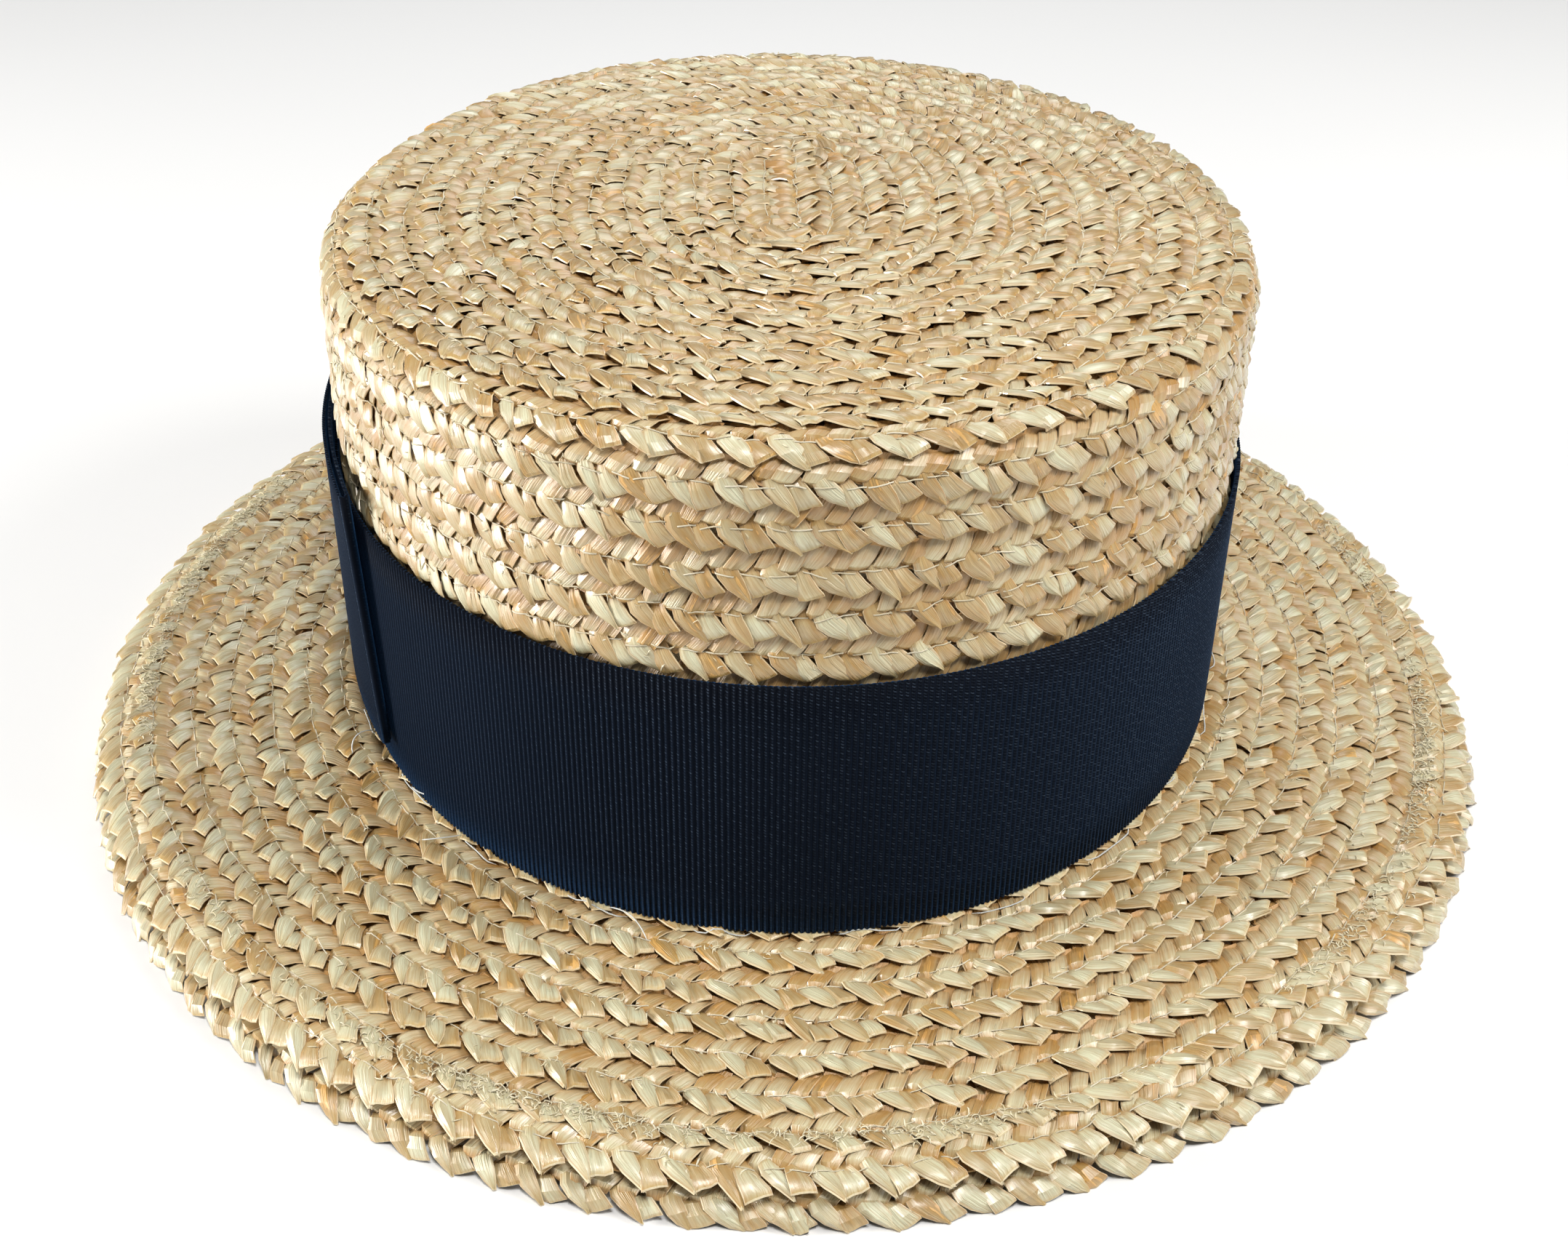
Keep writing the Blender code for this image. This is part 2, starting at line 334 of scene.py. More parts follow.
def lean(across, step):
    """A row leans: its toothed edge lies on the next row, the other edge under it. The
    teeth's ends droop a little."""
    droop = 0.12 * np.clip((across - 1.0) / 3.4, 0.0, 1.2) ** 2
    return -step * (1.0 - np.clip((across + 4.2) / 6.8, 0.0, 1.0)) - droop


def strand_shades(draw, pairs, member, bleached):
    """Five strands make the plait, so a strip's shade comes back every fifth strip,
    until the stem is used up and the next one is fed in. Bleached straw is paler."""
    number = np.arange(pairs) * 4 + member
    strand = number % 5
    stretch = (number // 5 + strand * 5) // 13
    stems = draw.random((5, stretch.max() + 1))
    shades = eased(stems)[strand, stretch] ** bleached * 0.78 + 0.06 + rough(draw, 0.07, pairs)
    return np.clip(shades, 0.0, 1.0)


def lay_plait(
    place, line, step, draw, bleached=1.0, strips=PAIR_OF_TEETH, looseness=1.0, turned=1
):
    """Copies the modelled strips along a row's middle line, one pair of teeth after the
    other. place turns (distance, angle, lift) in mm into points. A place that mirrors
    the strips has turned 1, and one that doesn't has -1. Each row gets a painted shadow
    where it comes out from under the row before. Returns mesh arrays."""
    run, angle, distance = line
    ends = np.arange(run[0], run[-1], PAIR)
    pairs = len(ends)
    shared = rough(draw, 0.13 * looseness, (pairs, 2))
    made = []
    for member, (variants, shift) in enumerate(strips):
        shades = strand_shades(draw, pairs, member, bleached)
        variant = draw.integers(0, len(variants), pairs)
        turn = rough(draw, 0.075 * looseness, (pairs, 1))
        wide = 1.0 + rough(draw, 0.07, (pairs, 1))
        roll = rough(draw, 0.09 * looseness, (pairs, 1))
        twist = rough(draw, 0.07 * looseness, (pairs, 1))
        rise = rough(draw, 0.075 * looseness, (pairs, 1))
        slide = rough(draw, 0.12 * looseness, (pairs, 2)) + shared
        offset = draw.integers(0, 90, (pairs, 1, 2)).astype(float)
        for kind, (points, corners, layout, fold) in enumerate(variants):
            own = variant == kind
            count = int(own.sum())
            middle = points[:, :2].mean(axis=0)
            u = (points[:, 0] - middle[0]) * wide[own]
            v = (points[:, 1] - middle[1]) * (1.0 + (wide[own] - 1.0) * 0.5)
            cosine, sine = np.cos(turn[own]), np.sin(turn[own])
            turned_u = u * cosine - v * sine + middle[0] + slide[own, :1]
            turned_v = u * sine + v * cosine + middle[1] + slide[own, 1:]
            lift = points[:, 2] + u * roll[own] + v * twist[own] + rise[own]
            at = ends[own, None] - turned_u - shift
            reach = np.interp(at, run, distance) + turned_v
            where = place(reach, np.interp(at, run, angle), lift + lean(turned_v, step))
            first = (np.arange(count) * len(points))[:, None, None]
            # Painted shadow: browner where the row comes out from under the teeth of the row
            # before.
            painted_row_shadow = np.clip((-1.1 - turned_v) / 1.1, 0.0, 1.0) * 0.55
            flipped = layout.reshape(-1, 4, 2)[:, ::-turned].reshape(1, -1, 2)
            made.append(
                {
                    "points": where.reshape(-1, 3) * MM,
                    "corners": (corners[None, :, ::-turned] + first).reshape(-1, 4),
                    "strip": (flipped * 0.998 + 0.001 + offset[own]).reshape(-1, 2),
                    "shade": np.repeat(shades[own], len(points)),
                    "fold": np.minimum(fold + painted_row_shadow, 1.0).ravel(),
                }
            )
    return joined(made)


def joined(parts):
    """Several sets of mesh arrays as one."""
    start = np.cumsum([0] + [len(part["points"]) for part in parts])
    whole = {key: np.concatenate([part[key] for part in parts]) for key in parts[0]}
    whole["corners"] = np.concatenate(
        [part["corners"] + first for part, first in zip(parts, start)]
    )
    return whole


STRIP_ANGLE = 26
WALL_ANGLE = 42


def mesh_piece(name, arrays, finish, smooth_angle=None):
    """A new piece from mesh arrays, with its map and attributes."""
    data = bpy.data.meshes.new(name)
    points, corners = arrays["points"], arrays["corners"]
    data.vertices.add(len(points))
    data.vertices.foreach_set("co", points.ravel())
    data.loops.add(corners.size)
    data.loops.foreach_set("vertex_index", corners.ravel())
    data.polygons.add(len(corners))
    data.polygons.foreach_set("loop_start", np.arange(0, corners.size, 4))
    data.update(calc_edges=True)
    if "strip" in arrays:
        data.uv_layers.new(name="strip").data.foreach_set("uv", arrays["strip"].ravel())
    for key in ("shade", "fold"):
        if key in arrays:
            data.attributes.new(key, "FLOAT", "POINT").data.foreach_set("value", arrays[key])
    data.materials.append(finish)
    data.validate()
    piece = bpy.data.objects.new(name, data)
    bpy.context.scene.collection.objects.link(piece)
    bpy.ops.object.select_all(action="DESELECT")
    piece.select_set(True)
    bpy.context.view_layer.objects.active = piece
    if smooth_angle is None:
        bpy.ops.object.shade_smooth()
    else:
        bpy.ops.object.shade_smooth_by_angle(angle=math.radians(smooth_angle))
    piece.select_set(False)
    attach(piece, "root")
    return piece


# The crown's plait. One long plait is sewn from the middle of the flat tip outwards,
# over the shoulder and down the side, each turn lapped under the one before it.
CROWN_HALF_WIDTH = 86.3
OVAL_EXTRA = 16.6
TIP_TOP = 100.9
SHOULDER_RADIUS = 7.0
TIP_RUN = 79.3
SHOULDER_RUN = 11.0
FIRST_EDGE = 5.1
TIP_PITCH = 6.65
SIDE_PITCH = 7.42
TURNS_TO_SIDE = 12.25
TOOTH = 3.9
POINTS_A_TURN = 720
FIRST_TURN = 0.13
LAST_TIP_TURN = 10.6
LAST_OPEN_TURN = 17.6
LAST_SIDE_TURN = 19.4
LAST_INSIDE_TURN = 22.4


def crown_oval(radius, angle):
    """Plan points of an oval. The innermost ones are long and straight-sided, and lie a
    little further back than the crown's middle."""
    whole = np.clip(radius / 65.0, 0.0, 1.0)
    rise = np.sin(angle)
    ends = np.tanh(4.0 * rise) / math.tanh(4.0) * (1.0 - whole) + rise * whole
    back = 3.4 * (1.0 - eased(np.clip((radius - 47.0) / 32.0, 0.0, 1.0)))
    return radius * np.cos(angle), radius * rise + OVAL_EXTRA * ends + back


def kept_above_zero(values, low):
    """Values as they are above low, and below it nearing zero without reaching it."""
    return np.where(values < low, low * np.exp(np.minimum(values / low, 1.0) - 1.0), values)


def crown_surface(distance, angle, lift):
    """A point so far from the tip's middle, over the shoulder and down the side."""
    distance = kept_above_zero(distance, 1.0)
    turn = np.clip((distance - TIP_RUN) / SHOULDER_RADIUS, 0.0, math.pi / 2)
    down = np.maximum(distance - TIP_RUN - SHOULDER_RUN, 0.0)
    reach = SHOULDER_RADIUS + lift
    x, y = crown_oval(np.minimum(distance, TIP_RUN) + reach * np.sin(turn), angle)
    z = TIP_TOP - SHOULDER_RADIUS - down + reach * np.cos(turn)
    return np.stack((x, y, z), axis=-1)


def length_along(points):
    """The length of a path up to each of its points."""
    steps = np.linalg.norm(np.diff(points, axis=0), axis=1)
    return np.concatenate(([0.0], np.cumsum(steps)))


def row_line(place, turns, distance):
    """The middle line of a plait: its length so far, angle and distance at each point.
    Turns are counted clockwise from +X, seen from above."""
    angle = -2.0 * math.pi * turns
    points = place(distance, angle, np.zeros_like(turns))
    return length_along(points), angle, distance


def wavering(turns, size):
    """Hand-guided rows stray a little from an even line."""
    slow = np.sin(turns * 8.7) + 0.7 * np.sin(turns * 19.3 + 1.0) + 0.4 * np.sin(turns * 53.0)
    return slow * size * np.clip(turns, 0.0, 1.0)


def crown_distance(turns):
    edge = FIRST_EDGE + TIP_PITCH * np.minimum(turns, TURNS_TO_SIDE)
    side = SIDE_PITCH * np.maximum(turns - TURNS_TO_SIDE, 0.0)
    return edge + side - TOOTH + wavering(turns, 0.28)


def crown_line(first, last):
    turns = np.linspace(first, last, int((last - first) * POINTS_A_TURN))
    return row_line(crown_surface, turns, crown_distance(turns))


def start_surface(distance, along, lift):
    """The plait's start is straight, and its end lies over the turns behind it."""
    over = 0.3 + 0.6 * np.clip((along - 12.0) / 10.0, 0.0, 1.0)
    over = over - 1.2 * np.clip((along - 32.0) / 5.0, 0.0, 1.0)
    return np.stack((distance, along, TIP_TOP + lift + over), axis=-1)


START_BACK, START_FRONT = 37.0, -19.0
start_run = np.linspace(0.0, START_BACK - START_FRONT, 60)
start_line = (start_run, START_BACK - start_run, np.full(60, FIRST_EDGE - TOOTH))

draw = np.random.default_rng(11)
crown_start = mesh_piece(
    "crown_start_plait", lay_plait(start_surface, start_line, 0.85, draw, 0.4), STRAW, WALL_ANGLE
)
tip_line = crown_line(FIRST_TURN, LAST_TIP_TURN)
side_line = crown_line(LAST_TIP_TURN, LAST_SIDE_TURN)
crown_tip = mesh_piece(
    "crown_tip_plait", lay_plait(crown_surface, tip_line, 1.0, draw, 0.7), STRAW, STRIP_ANGLE
)
crown_side = mesh_piece(
    "crown_side_plait", lay_plait(crown_surface, side_line, 1.45, draw, 0.8), STRAW, STRIP_ANGLE
)


# The crown's wall. Behind the strips that show, the rest of the plait's thickness is a
# plain shell, and its inner face is what shows from inside. The strips laid from
# BACK_FACE, here and under the brim, end up within the shell and don't show.
WALL_OUTSIDE = -2.3
WALL_INSIDE = -2.6
BACK_FACE = WALL_INSIDE + 0.35


def oval_shell(name, place, rows, finish, count=240):
    """A closed ring of wall: each row is (distance, lift), outside first, then back."""
    angle = np.linspace(0.0, 2.0 * math.pi, count, endpoint=False)
    grid = [place(np.full(count, row[0]), angle, np.full(count, row[1])) for row in rows]
    points = np.concatenate(grid)
    column = np.arange(count)
    beside = np.roll(column, -1)
    quads = []
    for level in range(len(rows)):
        this, after = level * count, ((level + 1) % len(rows)) * count
        quads.append(np.stack((this + column, after + column, after + beside, this + beside), 1))
    arrays = {"points": points * MM, "corners": np.concatenate(quads)}
    arrays["strip"] = arrays["points"][arrays["corners"].ravel()][:, :2] * 900.0
    arrays["shade"] = np.full(len(points), 0.75)
    # Painted shade: the wall's outer face is seen only in the gaps between strips and is painted
    # dark there. Its inner face is painted less dark.
    arrays["fold"] = np.repeat([0.8 if row[1] == WALL_OUTSIDE else 0.4 for row in rows], count)
    return mesh_piece(name, arrays, finish, WALL_ANGLE)


wall_rows = [0.0, 2.0, 10.0, 20.0, 40.0, 60.0, 76.0, 79.3, 83.0, 86.6, 90.3, 110.0, 140.0, 172.9]
crown_wall = oval_shell(
    "crown_wall",
    crown_surface,
    [(row, WALL_OUTSIDE) for row in wall_rows] + [(row, WALL_INSIDE) for row in wall_rows[::-1]],
    STRAW_INSIDE,
)


def inside_crown(distance, angle, lift):
    return crown_surface(distance, angle, BACK_FACE - lift)


inside_line = crown_line(FIRST_TURN, LAST_INSIDE_TURN)
crown_inside = mesh_piece(
    "crown_inside_plait",
    lay_plait(inside_crown, inside_line, 0.5, draw, 1.0, BACK_PAIR, 0.6, -1),
    STRAW_INSIDE,
    WALL_ANGLE,
)
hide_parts("crown")


# The brim's plait. The same plait goes on round the crown's foot, nearly level, and its
# last turn bends down at the rim.
BRIM_TOP = 10.9
BRIM_WIDTH = 53.5
BRIM_PITCH = 7.38
FIRST_BRIM_EDGE = 1.85
LAST_ROW_INSET = 1.5
BRIM_SLOPE = 2.4
BEND_RUN = 46.2
BEND_WIDTH = 7.3
BRIM_EDGE_FALL = 2.7
HALF_OF_BRIM = 3.75
BRIM_TURNS = 7.75


def brim_surface(distance, angle, lift):
    slope = BRIM_SLOPE * np.clip(distance / BEND_RUN, 0.0, 1.0)
    bend = np.maximum(distance - BEND_RUN, 0.0) / BEND_WIDTH
    fall = BRIM_EDGE_FALL * bend + 0.5 * np.maximum(distance - 50.0, 0.0) ** 2 / 12.0
    x, y = crown_oval(CROWN_HALF_WIDTH + distance, angle)
    return np.stack((x, y, BRIM_TOP - slope - fall + lift), axis=-1)


def brim_distance(turns):
    """Each turn is a ring of its own, and shifts out to the next one at the back."""
    whole = np.floor(turns + 0.25)
    ring = whole + eased(np.clip((turns + 0.25 - whole - 0.84) / 0.16, 0.0, 1.0))
    edge = np.minimum(FIRST_BRIM_EDGE + BRIM_PITCH * ring, BRIM_WIDTH - LAST_ROW_INSET)
    return edge - TOOTH + wavering(turns, 0.2)


def brim_line(first, last):
    turns = np.linspace(first, last, int((last - first) * POINTS_A_TURN))
    return row_line(brim_surface, turns, brim_distance(turns))


inner_line = brim_line(-0.25, HALF_OF_BRIM)
outer_line = brim_line(HALF_OF_BRIM, BRIM_TURNS)
brim_inner = mesh_piece(
    "brim_plait_inner", lay_plait(brim_surface, inner_line, 1.2, draw, 1.6), STRAW, STRIP_ANGLE
)
brim_outer = mesh_piece(
    "brim_plait_outer", lay_plait(brim_surface, outer_line, 1.2, draw, 2.2), STRAW, STRIP_ANGLE
)
brim_rows = [-4.5, 0.0, 15.0, 30.0, BEND_RUN, 49.5]
brim_wall = oval_shell(
    "brim_wall",
    brim_surface,
    [(row, WALL_OUTSIDE) for row in brim_rows] + [(row, WALL_INSIDE) for row in brim_rows[::-1]],
    STRAW_INSIDE,
)


def under_brim(distance, angle, lift):
    return brim_surface(distance, angle, BACK_FACE - lift)


brim_underside = mesh_piece(
    "brim_underside_plait",
    lay_plait(under_brim, brim_line(0.0, 7.0), 0.5, draw, 1.0, BACK_PAIR, 0.6, -1),
    STRAW_INSIDE,
    WALL_ANGLE,
)
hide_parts("brim")


# The row under the rim. One more turn of plait is sewn under the edge and turned down,
# so that only its toothed half shows, and the hat rests on it.
RIM_RADIUS = 139.8
EDGE_PATH = [(-9.8, 5.4), (-6.5, 4.6), (-2.2, 3.4), (-0.2, 2.1), (0.7, 0.5), (1.5, -0.7)]
edge_out, edge_up = np.array(EDGE_PATH).T
edge_run = length_along(np.array(EDGE_PATH))
EDGE_TIPS = edge_run[-2]


def on_edge_path(distance):
    return np.interp(distance, edge_run, edge_out), np.interp(distance, edge_run, edge_up)


def edge_surface(distance, angle, lift):
    """A point so far along the turned-down section, lifted off it."""
    step = 0.6
    out, up = on_edge_path(distance)
    ahead_out, ahead_up = on_edge_path(distance + step)
    behind_out, behind_up = on_edge_path(distance - step)
    along_out, along_up = ahead_out - behind_out, ahead_up - behind_up
    size = np.maximum(np.hypot(along_out, along_up), 1e-6)
    x, y = crown_oval(RIM_RADIUS + out - along_up / size * lift, angle)
    z = kept_above_zero(up + along_out / size * lift, 0.6)
    return np.stack((x, y, z), axis=-1)


edge_turns = np.linspace(0.25, 1.27, POINTS_A_TURN)
edge_line = row_line(edge_surface, edge_turns, np.full(POINTS_A_TURN, EDGE_TIPS - TOOTH))
brim_edge = mesh_piece(
    "brim_edge_plait", lay_plait(edge_surface, edge_line, 0.6, draw, 2.5), STRAW, STRIP_ANGLE
)
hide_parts("brim_edge_row")


# The sewing thread. A thin pale cotton holds each row to the next one, in stitches of
# about four millimetres that lie across the strips and dip in at their ends.
STITCH = 4.4
STITCH_SHOWN = 3.6
THREAD_RADIUS = 0.13


def fibre_finish(name, dull, clean):
    finish, tree, shader = new_finish(name, {"Specular IOR Level": 0.3})
    thread_map = tree.node("UVMap", {"uv_map": "strip"})
    shade = tree.node("Attribute", {"attribute_name": "shade"}, None, 2)
    twist = tree.node(
        "TexWave",
        {"wave_type": "BANDS", "bands_direction": "DIAGONAL"},
        {"Vector": thread_map, "Scale": 0.9, "Distortion": 0.6},
        1,
    )
    cotton = (shade * 0.7 + twist * 0.3).between((*dull, 1.0), (*clean, 1.0))
    bump = tree.node("Bump", None, {"Strength": 0.6, "Distance": 0.00008, "Height": twist})
    plug(shader, Base_Color=cotton, Roughness=twist * 0.2 + 0.55, Normal=bump)
    return finish


THREAD = fibre_finish("sewing_thread", (0.58, 0.50, 0.33), (0.84, 0.78, 0.62))
THREAD_WHITE = fibre_finish("tacking_thread", (0.62, 0.64, 0.58), (0.82, 0.84, 0.82))
SPLINTER = fibre_finish("straw_splinters", (0.74, 0.64, 0.40), (0.94, 0.88, 0.68))


def tubes(paths, radius, shades, sides=4):
    """Closed round threads along many paths, all with the same number of points."""
    count, steps = paths.shape[:2]
    ahead = np.gradient(paths, axis=1)
    ahead /= np.linalg.norm(ahead, axis=2, keepdims=True)
    aside = np.cross(ahead, (0.31, 0.17, 0.93))
    aside /= np.linalg.norm(aside, axis=2, keepdims=True)
    over = np.cross(ahead, aside)
    turn = 2.0 * math.pi * np.arange(sides) / sides
    ring = aside[:, :, None] * np.cos(turn)[:, None] + over[:, :, None] * np.sin(turn)[:, None]
    thick = np.ones(steps)
    thick[[0, -1]] = 0.2
    points = paths[:, :, None] + ring * (thick[:, None, None] * radius)
    index = np.arange(count * steps * sides).reshape(count, steps, sides)
    beside = np.roll(index, -1, axis=2)
    quads = np.stack((index[:, :-1], beside[:, :-1], beside[:, 1:], index[:, 1:]), axis=-1)
    quads = quads.reshape(-1, 4)
    where = np.stack(np.meshgrid(np.arange(steps), np.arange(sides), indexing="ij"), -1)
    laid = np.broadcast_to(where, (count, steps, sides, 2)).reshape(-1, 2).astype(float)
    return {
        "points": points.reshape(-1, 3) * MM,
        "corners": quads,
        "strip": laid[quads.ravel()],
        "shade": np.repeat(shades, steps * sides),
    }


def surface_of(*plaits):
    """What a needle would meet: the plait's faces, for finding how high a thread lies."""
    points, faces, first = [], [], 0
    for plait in plaits:
        data = plait.data
        spots = np.empty(len(data.vertices) * 3)
        data.vertices.foreach_get("co", spots)
        corners = np.empty(len(data.loops), np.int64)
        data.loops.foreach_get("vertex_index", corners)
        points += spots.reshape(-1, 3).tolist()
        faces += (corners.reshape(-1, 4) + first).tolist()
        first += len(data.vertices)
    return BVHTree.FromPolygons(points, faces)


def height_on(surface, place, distance, angle, ceiling=2.5):
    """How high the surface lies at places of a row, in mm, or -1 where it is open."""
    above = place(distance, angle, np.full(distance.shape, ceiling)).reshape(-1, 3) * MM
    below = place(distance, angle, np.full(distance.shape, -1.0)).reshape(-1, 3) * MM
    heights = []
    for start, end in zip(above, below):
        towards = Vector(end - start)
        hit = surface.ray_cast(Vector(start), towards.normalized(), towards.length)
        heights.append(ceiling - hit[3] / MM if hit[0] else -1.0)
    return np.array(heights).reshape(distance.shape)


def sew(name, place, line, surface, draw):
    """Stitches along a row's middle line, each one laid on the strips under it."""
    run, angle, distance = line
    starts = np.arange(run[0] + 2.0, run[-1] - STITCH, STITCH)
    starts = starts + rough(draw, 0.35, len(starts))
    share = np.array([0.0, 0.06, 0.36, 0.66, 0.94, 1.0])
    shown = STITCH_SHOWN * (1.0 + rough(draw, 0.1, (len(starts), 1)))
    at = starts[:, None] + shown * share
    drift = np.interp(starts, run, 0.35 * np.sin(run / 23.0) + 0.25 * np.sin(run / 7.7))
    slant = rough(draw, 0.22, (len(starts), 1))
    aside = drift[:, None] + slant * (share * 2.0 - 1.0) + rough(draw, 0.12, (len(starts), 1))
    reach = np.interp(at, run, distance) + aside
    turned = np.interp(at, run, angle)
    height = height_on(surface, place, reach, turned)
    level = np.maximum(height, np.median(height, axis=1, keepdims=True) - 0.25)
    level[:, 1:-1] += THREAD_RADIUS * 0.8
    level[:, [0, -1]] = level[:, [1, -2]] - 0.65
    paths = place(reach, turned, level)
    arrays = tubes(paths, THREAD_RADIUS, draw.random(len(starts)))
    mesh_piece(name, arrays, THREAD)


tip_surface = surface_of(crown_start, crown_tip, crown_side)
sew("start_stitches", start_surface, start_line, tip_surface, draw)
sew("tip_stitches", crown_surface, tip_line, tip_surface, draw)
open_side_line = crown_line(LAST_TIP_TURN, LAST_OPEN_TURN)
sew("side_stitches", crown_surface, open_side_line, tip_surface, draw)
brim_top_surface = surface_of(brim_inner, brim_outer)
sew("brim_stitches", brim_surface, brim_line(0.0, BRIM_TURNS), brim_top_surface, draw)


# The frayed fibres. Wear has lifted short splinters of straw along the sewing, most of
# all on the brim's last rows, and little on the crown.
def fray(name, place, line, surface, number, patch, spread, offset, draw):
    """Loose fibres along a row: each starts in the plait and curls out of it. They come
    in patches, where a slow wave along the row is high."""
    run, angle, distance = line
    starts = np.sort(draw.uniform(run[0] + 4.0, run[-1] - 4.0, number * 4))
    wave = np.sin(starts / 31.0 + patch) + np.sin(starts / 11.3 + 2.0 * patch) * 0.7
    starts = draw.permutation(starts[wave + draw.normal(0.0, 0.6, len(starts)) > 0.2])[:number]
    number = len(starts)
    share = np.linspace(0.0, 1.0, 4)
    length = draw.uniform(0.6, 2.0, (number, 1))
    heading = draw.uniform(-math.pi, math.pi, (number, 1)) * 0.5
    bend = rough(draw, 0.7, (number, 1))
    way = np.where(draw.random((number, 1)) < 0.5, -1.0, 1.0)
    at = starts[:, None] + way * length * share * np.cos(heading + bend * share)
    aside = rough(draw, spread, (number, 1)) + length * share * np.sin(heading + bend * share)
    reach = np.interp(at, run, distance) + aside + offset
    turned = np.interp(at, run, angle)
    height = height_on(surface, place, reach, turned).max(axis=1, keepdims=True)
    arch = np.sin(share * draw.uniform(1.2, 3.0, (number, 1)))
    curl = draw.uniform(0.1, 0.42, (number, 1)) * arch
    paths = place(reach, turned, np.maximum(height, -1.0) - 0.06 + curl)
    arrays = tubes(paths, draw.uniform(0.06, 0.18, (number, 1, 1, 1)), draw.random(number), 3)
    mesh_piece(name, arrays, SPLINTER)


last_rows = brim_line(5.8, 6.85)
open_brim = brim_line(1.0, BRIM_TURNS)
open_crown = crown_line(8.0, LAST_OPEN_TURN)
for name, place, line, surface, number, patch, spread, offset in (
    ("brim_frayed_fibres", brim_surface, last_rows, brim_top_surface, 3200, 0.4, 0.9, 1.6),
    ("brim_worn_fibres", brim_surface, open_brim, brim_top_surface, 900, 1.9, 0.8, 0.5),
    ("crown_worn_fibres", crown_surface, open_crown, tip_surface, 700, 0.9, 0.9, 0.3),
):
    fray(name, place, line, surface, number, patch, spread, offset, draw)


# The band. A navy grosgrain ribbon is drawn tight round the crown's foot. It has a rib
# across its width at each millimetre, and a woven edge above and below.
BAND_OUTSIDE = 87.6
BAND_FOOT = 11.2
RIBBON_WIDTH = 49.0
RIB = 1.0


def ribbon_finish():
    finish, tree, shader = new_finish(
        "navy_grosgrain",
        {
            "Specular IOR Level": 0.04,
            "Sheen Weight": 0.1,
            "Sheen Roughness": 0.5,
            "Sheen Tint": (0.13, 0.42, 1.0, 1.0),
        },
    )
    ribbon_map = tree.node("UVMap", {"uv_map": "strip"})
    threads = ribbon_map.noise(1.0, 1.8, 2.2, 1.0)
    patches = ribbon_map.noise(0.03, 0.05, 7.7, 3.0)
    rib = tree.node("SeparateXYZ", None, {0: ribbon_map})
    height = tree.node("SeparateXYZ", None, {0: ribbon_map}, 1)
    whole_rib = rib.math("FLOOR", rib + 0.5)
    from_crest = (rib - whole_rib).math("ABSOLUTE", rib - whole_rib)
    # Painted glints: pale dots on the rib crests, where the weave's picks cross them.
    pick = height * 1.79 + whole_rib * 0.37 + patches * 2.0
    from_pick = pick.math("FRACT", pick) - 0.5
    pick_glint = 1.0 - from_pick.math("ABSOLUTE", from_pick).clamped(0.1, 0.3)
    scatter = ribbon_map.noise(0.9, 1.6, 4.4, 0.0).clamped(0.46, 0.7)
    crest_glints = pick_glint * (1.0 - from_crest.clamped(0.12, 0.3)) * (scatter * 0.8 + 0.2)
    navy = (patches * 0.7 + threads * 0.3).between(
        (0.0010, 0.0014, 0.0028, 1.0), (0.0024, 0.0036, 0.0072, 1.0)
    )
    glinted_navy = (crest_glints * 0.75).between(navy, (0.045, 0.062, 0.09, 1.0))
    bump = tree.node("Bump", None, {"Strength": 0.6, "Distance": 0.00012, "Height": threads})
    plug(shader, Base_Color=glinted_navy, Roughness=threads * 0.25 + 0.5, Normal=bump)
    return finish


NAVY = ribbon_finish()


def ribbed_ribbon(name, place, first, last, low, high, finish, thickness, levels=6):
    """A length of ribbon: place(along, up, lift) in mm, with a round rib each RIB mm."""
    columns = int(round((last - first) / RIB)) * 4 + 1
    along = np.linspace(first, last, columns)
    up = np.linspace(0.0, 1.0, levels + 1)
    rib = np.arange(columns) % 4
    crest = np.choose(rib, (-0.26, 0.02, 0.08, 0.02))
    edge = np.choose(rib, (-0.1, 0.02, 0.08, 0.02))
    grid_along, grid_up = np.meshgrid(along, up)
    side = np.where(grid_up > 0.99, 1.0, np.where(grid_up < 0.01, -1.0, 0.0))
    height = low + (high - low) * grid_up + side * edge[None, :]
    points = place(grid_along, height, np.broadcast_to(crest, height.shape))
    index = np.arange(points.shape[0] * points.shape[1]).reshape(height.shape)
    quads = np.stack((index[:-1, :-1], index[:-1, 1:], index[1:, 1:], index[1:, :-1]), -1)
    flat = np.stack((grid_along, height), axis=-1).reshape(-1, 2)
    corners = quads.reshape(-1, 4)
    arrays = {"points": points.reshape(-1, 3) * MM, "corners": corners}
    arrays["strip"] = flat[corners.ravel()]
    piece = mesh_piece(name, arrays, finish)
    wall = piece.modifiers.new("ribbon thickness", "SOLIDIFY")
    wall.thickness = thickness * MM
    wall.offset = -1.0
    bpy.context.view_layer.objects.active = piece
    bpy.ops.object.modifier_apply(modifier=wall.name)
    return piece


band_angles = np.linspace(0.0, 2.0 * math.pi, 1441)
band_plan = np.stack(crown_oval(np.full_like(band_angles, BAND_OUTSIDE), band_angles), axis=-1)
band_run = length_along(band_plan)
BAND_LENGTH = band_run[-1]


def band_place(along, up, lift):
    angle = np.interp(along % BAND_LENGTH, band_run, band_angles)
    x, y = crown_oval(BAND_OUTSIDE + lift, angle)
    return np.stack((x, y, up), axis=-1)


BAND_THICKNESS = 0.5
band_top = BAND_FOOT + RIBBON_WIDTH
band = ribbed_ribbon(
    "band_ribbon", band_place, 0.0, BAND_LENGTH, BAND_FOOT, band_top, NAVY, BAND_THICKNESS
)
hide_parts("ribbon_band")


